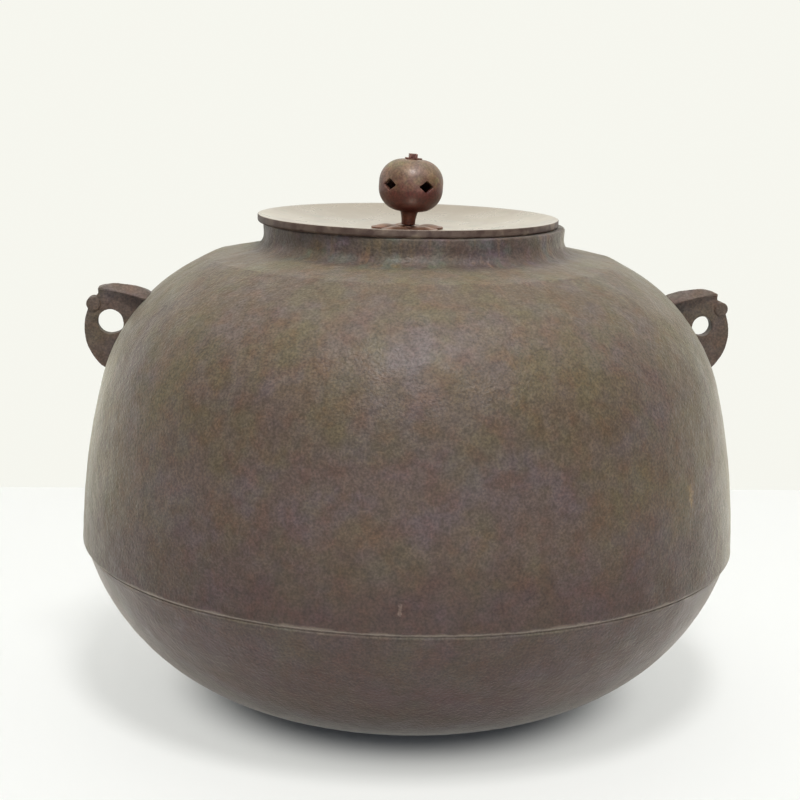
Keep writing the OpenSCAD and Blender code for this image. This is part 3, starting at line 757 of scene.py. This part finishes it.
# Partly painted top light: the petal tops are painted brighter, as well as rubbed.
rubbed = band(tree, along(tree, place, "Z"), PETAL_TOP_SPAN, 0.0, 0.5)
colour = tint(tree, rubbed, colour, PETAL_RUBBED_AND_LIT)
tree.links.new(colour, shader.inputs["Base Color"])
relief(tree, shader, ((cloud(tree, place, 1.2, 3), 0.05),))
petals.data.materials.append(petal_copper)
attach(petals, "lid")
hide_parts("flower_washer")

# Knob shell: a hollow fruit cast in bronze, with a neck that flares up into it and five diamond holes,
# patinated red-brown and polished by fingers. It is loose on its pin, so that it stays cool and turns.
FRUIT_VOXEL = 0.24
FRUIT_ROUNDS = 3
FRUIT_RED = shade(86, 36, 28)
FRUIT_BROWN = shade(102, 51, 41)
FRUIT_LOW_PAINTED_SHADE = shade(58, 20, 14)
FRUIT_NECK = shade(112, 58, 34)
FRUIT_RUBBED_AND_LIT = shade(136, 114, 92)
FRUIT_OLIVE = shade(128, 114, 80)
FRUIT_LOW_SPAN = (seat_z + 6.3, seat_z + 19.3)
FRUIT_NECK_SPAN = (seat_z + 4.3, seat_z + 8.3)
FRUIT_RUBBED_SPAN = (seat_z + 13.8, seat_z + 25.3)
FRUIT_OLIVE_SPAN = (seat_z + 12.8, seat_z + 22.8)
fruit = softened("knob_shell", "knob_fruit_cast", FRUIT_VOXEL, FRUIT_ROUNDS)
fruit_bronze, tree, shader, place = new_finish("fruit_red_bronze", metallic=0.1, roughness=0.48)
up = along(tree, place, "Z")
stain = cloud(tree, place, 7, 4, (2, 2, 6))
colour = mottle(tree, FRUIT_RED, FRUIT_BROWN, stain, 0.36, 0.64)
# Painted shade: the fruit is painted darker underneath.
colour = tint(tree, band(tree, up, FRUIT_LOW_SPAN, 0.9, 0.0), colour, FRUIT_LOW_PAINTED_SHADE)
colour = tint(tree, band(tree, up, FRUIT_NECK_SPAN, 0.75, 0.0), colour, FRUIT_NECK)
# Partly painted top light: the fruit's top is painted paler, as well as rubbed by fingers.
rubbed = band(tree, ragged(tree, up, stain, reach=2), FRUIT_RUBBED_SPAN, 0.0, 0.7)
colour = tint(tree, rubbed, colour, FRUIT_RUBBED_AND_LIT)
olive = spread(tree, cloud(tree, place, 4, 4, (1, 7, 3)), 0.46, 0.66, 0.0, 0.6)
olive = sums(tree, "MULTIPLY", olive, band(tree, up, FRUIT_OLIVE_SPAN, 0.0, 1.0))
colour = tint(tree, olive, colour, FRUIT_OLIVE)
tree.links.new(patina(tree, place, colour), shader.inputs["Base Color"])
shader.inputs["Coat Weight"].default_value = 0.12
shader.inputs["Coat Roughness"].default_value = 0.2
relief(tree, shader, ((cloud(tree, place, 2.5, 3), 0.12), (cloud(tree, place, 0.8, 3), 0.05)))
fruit.data.materials.append(fruit_bronze)
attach(fruit, "knob")
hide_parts("knob_shell")

# Calyx washer, pin and under washer: a leafed washer on the fruit's top, the square-headed pin that runs
# down through knob, seat and lid, and the washer under the lid that the pin's end is peened over. All are
# of darkened copper.
PIN_VOXEL = 0.12
PIN_ROUNDS = 2
PIN_DARK = shade(96, 58, 48)
PIN_PINK = shade(146, 104, 90)
PIN_PIECES = {
    "calyx_washer": "calyx_leaves",
    "knob_pin": "knob_pin_forged",
    "under_washer": "under_washer_cut",
}
pin_copper, tree, shader, place = new_finish("pin_dark_copper", metallic=0.5, roughness=0.4)
stain = cloud(tree, place, 2, 4)
colour = mottle(tree, PIN_DARK, PIN_PINK, stain, 0.36, 0.64)
tree.links.new(colour, shader.inputs["Base Color"])
relief(tree, shader, ((stain, 0.06),))
for node, piece_name in PIN_PIECES.items():
    piece = softened(node, piece_name, PIN_VOXEL, PIN_ROUNDS)
    piece.data.materials.append(pin_copper)
    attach(piece, "knob")
    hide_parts(node)

# Floor and backdrop: a plain pale table top, with a pale veil for the camera that clears round the foot,
# against an off-white wall. The veil evens the floor's white and is also painted light over the kettle's
# wide shadow; its clearing keeps the contact shadow at the foot. The wall is seen from its front only.
STAGE_SIZE = 6
FLOOR_WHITE = (0.95, 0.95, 0.93, 1)
VEIL_WHITE = (0.972, 0.98, 0.94, 1)
VEIL_SPAN = (68, 104)
VEIL_AMOUNT = 0.56


def plain(tree, kind, colour):
    """A shader node of one colour."""
    node = tree.nodes.new(kind)
    node.inputs["Color"].default_value = colour
    return node


def mixed(tree, amount, first, second):
    """Mixes two shader nodes by an amount."""
    node = tree.nodes.new("ShaderNodeMixShader")
    tree.links.new(amount, node.inputs[0])
    tree.links.new(first.outputs[0], node.inputs[1])
    tree.links.new(second.outputs[0], node.inputs[2])
    return node


bpy.ops.object.select_all(action="DESELECT")
bpy.ops.mesh.primitive_plane_add(size=STAGE_SIZE)
floor = bpy.context.object
floor.name = "floor"
table, tree, shader, place = new_finish("pale_table", metallic=0.0, roughness=0.7)
shader.inputs["Base Color"].default_value = FLOOR_WHITE
shader.inputs["Specular IOR Level"].default_value = 0.2
rays = tree.nodes.new("ShaderNodeLightPath").outputs
clear_of_foot = band(tree, off_axis(tree, place), VEIL_SPAN, 0.0, VEIL_AMOUNT)
seen = sums(tree, "MULTIPLY", rays["Is Camera Ray"], clear_of_foot)
veiled = mixed(tree, seen, shader, plain(tree, "ShaderNodeEmission", VEIL_WHITE))
tree.links.new(veiled.outputs[0], tree.nodes["Material Output"].inputs["Surface"])
floor.data.materials.append(table)

WALL_AT = (0.0285, 0.319, STAGE_SIZE / 2)
WALL_TURN = -1.18
WALL_MATT = (0.9, 0.9, 0.86, 1)
WALL_SEEN = (0.925, 0.925, 0.86, 1)


def turn(angle, axis):
    """A turn about an axis, by an angle in degrees."""
    return Matrix.Rotation(math.radians(angle), 4, axis)


bpy.ops.mesh.primitive_plane_add(size=STAGE_SIZE)
wall = bpy.context.object
wall.name = "backdrop"
wall.matrix_world = Matrix.Translation(WALL_AT) @ turn(WALL_TURN, "Z") @ turn(90, "X")
paper = bpy.data.materials.new("pale_wall")
paper.use_nodes = True
tree = paper.node_tree
tree.nodes.clear()
rays = tree.nodes.new("ShaderNodeLightPath").outputs
seen = sums(tree, "MAXIMUM", rays["Is Camera Ray"], rays["Is Glossy Ray"])
seen = sums(tree, "MAXIMUM", seen, rays["Is Transmission Ray"])
matt = plain(tree, "ShaderNodeBsdfDiffuse", WALL_MATT)
front = mixed(tree, seen, matt, plain(tree, "ShaderNodeEmission", WALL_SEEN))
from_behind = tree.nodes.new("ShaderNodeNewGeometry").outputs["Backfacing"]
sided = mixed(tree, from_behind, front, tree.nodes.new("ShaderNodeBsdfTransparent"))
output = tree.nodes.new("ShaderNodeOutputMaterial")
tree.links.new(sided.outputs[0], output.inputs["Surface"])
wall.data.materials.append(paper)

# Light: a pale room, bright in a narrow part in front and overhead and dim at the sides, with one small
# soft lamp high in front. The camera sees the room as an even off-white.
FRONT_LIGHT = (2.1, 2.36, 2.78, 1)
SIDE_LIGHT = (0.15, 0.13, 0.09, 1)
BACK_LIGHT = (0.9, 0.89, 0.85, 1)
TOP_LIGHT = (1.1, 1.08, 1.04, 1)
ROOM_SEEN = (0.925, 0.925, 0.88, 1)
ROOM_STRENGTH = 0.45
LAMP_SIZE = 0.4
LAMP_ENERGY = 16
LAMP_AT = Vector((0.04, -0.70, 1.5))
LAMP_AIM = Vector((0, 0, 0.1))
world = bpy.data.worlds.new("pale_room")
bpy.context.scene.world = world
world.use_nodes = True
tree = world.node_tree
tree.nodes.clear()
direction = tree.nodes.new("ShaderNodeTexCoord").outputs["Generated"]
to_back = along(tree, direction, "Y")
room = tint(tree, spread(tree, to_back, -0.99, -0.68), FRONT_LIGHT, SIDE_LIGHT)
room = tint(tree, spread(tree, to_back, 0.2, 0.9), room, BACK_LIGHT)
room = tint(tree, spread(tree, along(tree, direction, "Z"), 0.25, 0.9), room, TOP_LIGHT)
rays = tree.nodes.new("ShaderNodeLightPath").outputs
room = tint(tree, rays["Is Camera Ray"], room, ROOM_SEEN)
glow = tree.nodes.new("ShaderNodeBackground")
glow.inputs["Strength"].default_value = ROOM_STRENGTH
tree.links.new(room, glow.inputs["Color"])
output = tree.nodes.new("ShaderNodeOutputWorld")
tree.links.new(glow.outputs[0], output.inputs["Surface"])

lamp_data = bpy.data.lights.new("soft_box", "AREA")
lamp_data.shape = "DISK"
lamp_data.size = LAMP_SIZE
lamp_data.energy = LAMP_ENERGY
lamp = bpy.data.objects.new("soft_box", lamp_data)
bpy.context.collection.objects.link(lamp)
lamp_turn = (LAMP_AIM - LAMP_AT).to_track_quat("-Z", "Y").to_matrix().to_4x4()
lamp.matrix_world = Matrix.Translation(LAMP_AT) @ lamp_turn

# Camera: at the photograph's angle. It stands a little to the left, looks down on the kettle's shoulder,
# and leans slightly.
EYE_AT = (-0.07019, -0.67437, 0.25606)
EYE_TURN = -5.6
EYE_TILT = 90 - 11.372
EYE_ROLL = 1.317
EYE_SENSOR = 36
EYE_LENS = 75.6
bpy.context.scene.view_settings.view_transform = "Standard"
eye_data = bpy.data.cameras.new("view")
eye_data.sensor_width = EYE_SENSOR
eye_data.lens = EYE_LENS
eye_data.clip_start = 0.01
eye = bpy.data.objects.new("view", eye_data)
bpy.context.collection.objects.link(eye)
eye_turn = turn(EYE_TURN, "Z") @ turn(EYE_TILT, "X") @ turn(EYE_ROLL, "Z")
eye.matrix_world = Matrix.Translation(EYE_AT) @ eye_turn
bpy.context.scene.camera = eye
